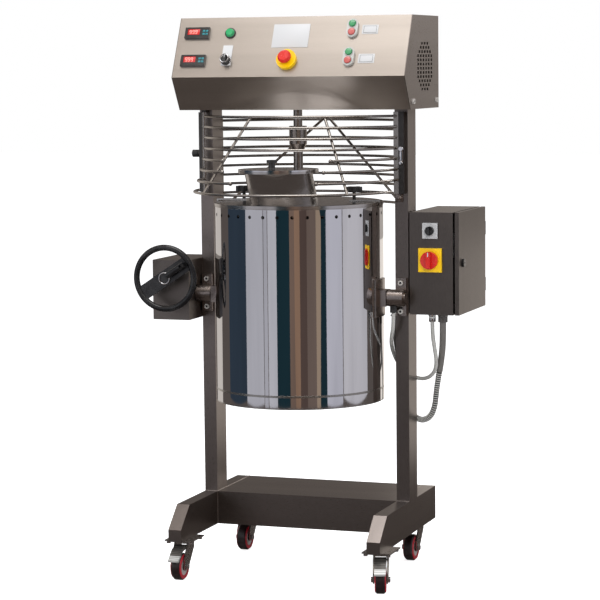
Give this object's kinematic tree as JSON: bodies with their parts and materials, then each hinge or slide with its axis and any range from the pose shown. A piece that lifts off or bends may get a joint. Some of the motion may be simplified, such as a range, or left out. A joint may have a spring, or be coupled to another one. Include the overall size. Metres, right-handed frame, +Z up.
{
  "type": "cream cooker",
  "caption": "Floor-standing tilting cream cooker: lidded mixing kettle between its columns, control head, rod guards, hand wheel, switch cabinet and castors",
  "frame": {"origin": "on the floor under the kettle's own upright axis", "axes": "+X to the operator's right, +Y to the back, +Z up"},
  "size_m": [0.9612, 0.6515, 1.648],
  "materials": {
    "frame_steel": "brushed stainless sheet and tube",
    "panel_steel": "brushed stainless sheet with a fine grain",
    "zinc_steel": "bright machined and plated steel",
    "black_plastic": "moulded black plastic",
    "green_plastic": "moulded green plastic",
    "red_plastic": "moulded red plastic",
    "yellow_plastic": "moulded yellow plastic",
    "painted_steel": "dark grey painted sheet",
    "dark_steel": "blackened steel",
    "polished_steel": "mirror-polished stainless",
    "rod_steel": "bright stainless rod",
    "element_steel": "oxidised heating element sheath",
    "bronze": "machined bronze",
    "cabinet_grey": "light grey moulded device housings",
    "conduit_black": "black conduit and gland plastic",
    "tyre_rubber": "dark rubber tread on a pale hub",
    "pedal_grey": "light grey moulded pedal"
  },
  "bodies": {
    "frame": {"legs": "frame_steel", "castor_plates": "zinc_steel", "base_tray": "frame_steel", "columns": "frame_steel", "head_shell": "panel_steel", "head_sides": "frame_steel", "head_floor": "frame_steel", "frame_bolts": "zinc_steel", "temperature_controllers": "black_plastic", "indicator_lamp": "green_plastic", "button_housings": "black_plastic", "gear_motor": "painted_steel", "bearing_blocks": "zinc_steel", "gear_case": "painted_steel", "guard_fittings": "dark_steel", "rear_guard": "rod_steel", "cabinet_body": "painted_steel", "switch_plates": "yellow_plastic", "cabinet_gear": "cabinet_grey", "cable_glands": "conduit_black", "small_conduit": "conduit_black", "large_conduit": "conduit_black"},
    "kettle": {"kettle_jacket": "polished_steel", "inner_pot": "polished_steel", "heating_elements": "element_steel", "kettle_lid": "polished_steel", "clamp_straps": "zinc_steel", "trunnions": "zinc_steel", "worm_wheel": "bronze"},
    "selector_knob": {"selector_knob": "black_plastic"},
    "stop_button": {"stop_button": "red_plastic"},
    "upper_start_button": {"upper_start_button": "green_plastic"},
    "upper_stop_button": {"upper_stop_button": "red_plastic"},
    "lower_start_button": {"lower_start_button": "green_plastic"},
    "lower_stop_button": {"lower_stop_button": "red_plastic"},
    "drive_shaft": {"drive_shaft": "dark_steel"},
    "stirrer": {"stirrer": "polished_steel"},
    "chute_cover": {"chute_cover": "polished_steel"},
    "left_clamp_knob": {"left_clamp_knob": "black_plastic"},
    "right_clamp_knob": {"right_clamp_knob": "black_plastic"},
    "hand_drive": {"worm_shaft": "dark_steel", "handwheel": "black_plastic"},
    "crank_handle": {"crank_handle": "black_plastic"},
    "guard_gate": {"guard_gate": "rod_steel"},
    "plunger_knob": {"plunger_knob": "black_plastic"},
    "cabinet_door": {"cabinet_door": "painted_steel"},
    "door_lock": {"door_lock": "dark_steel"},
    "main_switch_knob": {"main_switch_knob": "red_plastic"},
    "small_switch_knob": {"small_switch_knob": "black_plastic"},
    "swivel_front_left": {"castor_fork_front_left": "zinc_steel"},
    "roller_front_left": {"castor_wheel_front_left": "tyre_rubber"},
    "swivel_front_right": {"castor_fork_front_right": "zinc_steel"},
    "roller_front_right": {"castor_wheel_front_right": "tyre_rubber"},
    "swivel_rear_left": {"castor_fork_rear_left": "zinc_steel"},
    "roller_rear_left": {"castor_wheel_rear_left": "tyre_rubber"},
    "swivel_rear_right": {"castor_fork_rear_right": "zinc_steel"},
    "roller_rear_right": {"castor_wheel_rear_right": "tyre_rubber"},
    "pedal_front_left": {"brake_pedal_front_left": "pedal_grey"},
    "pedal_front_right": {"brake_pedal_front_right": "pedal_grey"}
  },
  "joints": [
    {"name": "kettle_tilt", "type": "hinge", "parent": "frame", "child": "kettle", "pos_m": [0, 0, 0.828], "axis": [1, 0, 0], "range_deg": [0, 90]},
    {"name": "handwheel_turn", "type": "hinge", "parent": "frame", "child": "hand_drive", "pos_m": [-0.376, -0.13, 0.883], "axis": [0, 1, 0], "range_deg": [0, 3600]},
    {"name": "crank_fold", "type": "hinge", "parent": "hand_drive", "child": "crank_handle", "pos_m": [-0.31394, -0.149, 0.9233], "axis": [-0.5446, 0, 0.8387], "range_deg": [0, 90]},
    {"name": "gate_swing", "type": "hinge", "parent": "frame", "child": "guard_gate", "pos_m": [-0.304, 0.02, 1.25], "axis": [0, 0, 1], "range_deg": [-108, 0]},
    {"name": "drive_spin", "type": "hinge", "parent": "frame", "child": "drive_shaft", "pos_m": [0, 0, 1.3], "axis": [0, 0, 1], "continuous": true},
    {"name": "stirrer_spin", "type": "hinge", "parent": "kettle", "child": "stirrer", "pos_m": [0, 0, 1], "axis": [0, 0, 1], "continuous": true},
    {"name": "cover_lift", "type": "slide", "parent": "kettle", "child": "chute_cover", "axis": [0, 0, 1], "range_m": [0, 0.03]},
    {"name": "left_clamp_turn", "type": "hinge", "parent": "kettle", "child": "left_clamp_knob", "pos_m": [-0.172, 0, 1.115], "axis": [0, 0, 1], "continuous": true},
    {"name": "right_clamp_turn", "type": "hinge", "parent": "kettle", "child": "right_clamp_knob", "pos_m": [0.172, 0, 1.115], "axis": [0, 0, 1], "continuous": true},
    {"name": "plunger_pull", "type": "slide", "parent": "frame", "child": "plunger_knob", "axis": [-1, 0, 0], "range_m": [0, 0.008], "stiffness_N_per_m": 600},
    {"name": "door_swing", "type": "hinge", "parent": "frame", "child": "cabinet_door", "pos_m": [0.475, 0.3385, 0.927], "axis": [0, 0, 1], "range_deg": [0, 120]},
    {"name": "door_lock_turn", "type": "hinge", "parent": "cabinet_door", "child": "door_lock", "pos_m": [0.48, 0.077, 0.928], "axis": [1, 0, 0], "range_deg": [0, 90]},
    {"name": "main_switch_turn", "type": "hinge", "parent": "frame", "child": "main_switch_knob", "pos_m": [0.393, 0.02, 0.9375], "axis": [0, -1, 0], "range_deg": [-90, 0]},
    {"name": "small_switch_turn", "type": "hinge", "parent": "frame", "child": "small_switch_knob", "pos_m": [0.393, 0.02, 1.0235], "axis": [0, -1, 0], "range_deg": [-90, 90]},
    {"name": "selector_turn", "type": "hinge", "parent": "frame", "child": "selector_knob", "pos_m": [-0.193, -0.08688, 1.5253], "axis": [0, -0.9046, 0.4263], "range_deg": [-45, 45]},
    {"name": "stop_push", "type": "slide", "parent": "frame", "child": "stop_button", "axis": [0, 0.9046, -0.4263], "range_m": [0, 0.004], "stiffness_N_per_m": 500},
    {"name": "upper_start_push", "type": "slide", "parent": "frame", "child": "upper_start_button", "axis": [0, 0.9046, -0.4263], "range_m": [0, 0.003], "stiffness_N_per_m": 400},
    {"name": "upper_stop_push", "type": "slide", "parent": "frame", "child": "upper_stop_button", "axis": [0, 0.9046, -0.4263], "range_m": [0, 0.003], "stiffness_N_per_m": 400},
    {"name": "lower_start_push", "type": "slide", "parent": "frame", "child": "lower_start_button", "axis": [0, 0.9046, -0.4263], "range_m": [0, 0.003], "stiffness_N_per_m": 400},
    {"name": "lower_stop_push", "type": "slide", "parent": "frame", "child": "lower_stop_button", "axis": [0, 0.9046, -0.4263], "range_m": [0, 0.003], "stiffness_N_per_m": 400},
    {"name": "castor_turn_front_left", "type": "hinge", "parent": "frame", "child": "swivel_front_left", "pos_m": [-0.305, -0.183, 0.11], "axis": [0, 0, 1], "continuous": true},
    {"name": "castor_roll_front_left", "type": "hinge", "parent": "swivel_front_left", "child": "roller_front_left", "pos_m": [-0.305, -0.221, 0.04], "axis": [1, 0, 0], "continuous": true},
    {"name": "brake_front_left", "type": "hinge", "parent": "swivel_front_left", "child": "pedal_front_left", "pos_m": [-0.305, -0.207, 0.096], "axis": [1, 0, 0], "range_deg": [0, 8]},
    {"name": "castor_turn_front_right", "type": "hinge", "parent": "frame", "child": "swivel_front_right", "pos_m": [0.305, -0.183, 0.11], "axis": [0, 0, 1], "continuous": true},
    {"name": "castor_roll_front_right", "type": "hinge", "parent": "swivel_front_right", "child": "roller_front_right", "pos_m": [0.31484, -0.21971, 0.04], "axis": [0.9659, 0.2588, 0], "continuous": true},
    {"name": "brake_front_right", "type": "hinge", "parent": "swivel_front_right", "child": "pedal_front_right", "pos_m": [0.31121, -0.20618, 0.096], "axis": [0.9659, 0.2588, 0], "range_deg": [0, 8]},
    {"name": "castor_turn_rear_left", "type": "hinge", "parent": "frame", "child": "swivel_rear_left", "pos_m": [-0.271, 0.27, 0.11], "axis": [0, 0, 1], "continuous": true},
    {"name": "castor_roll_rear_left", "type": "hinge", "parent": "swivel_rear_left", "child": "roller_rear_left", "pos_m": [-0.271, 0.232, 0.04], "axis": [1, 0, 0], "continuous": true},
    {"name": "castor_turn_rear_right", "type": "hinge", "parent": "frame", "child": "swivel_rear_right", "pos_m": [0.271, 0.27, 0.11], "axis": [0, 0, 1], "continuous": true},
    {"name": "castor_roll_rear_right", "type": "hinge", "parent": "swivel_rear_right", "child": "roller_rear_right", "pos_m": [0.271, 0.232, 0.04], "axis": [1, 0, 0], "continuous": true}
  ],
  "couplings": [
    {"joint": "handwheel_turn", "follows": "kettle_tilt", "ratio": 40},
    {"joint": "gate_swing", "follows": "kettle_tilt", "ratio": -1.2},
    {"joint": "drive_spin", "follows": "stirrer_spin", "ratio": 1}
  ]
}
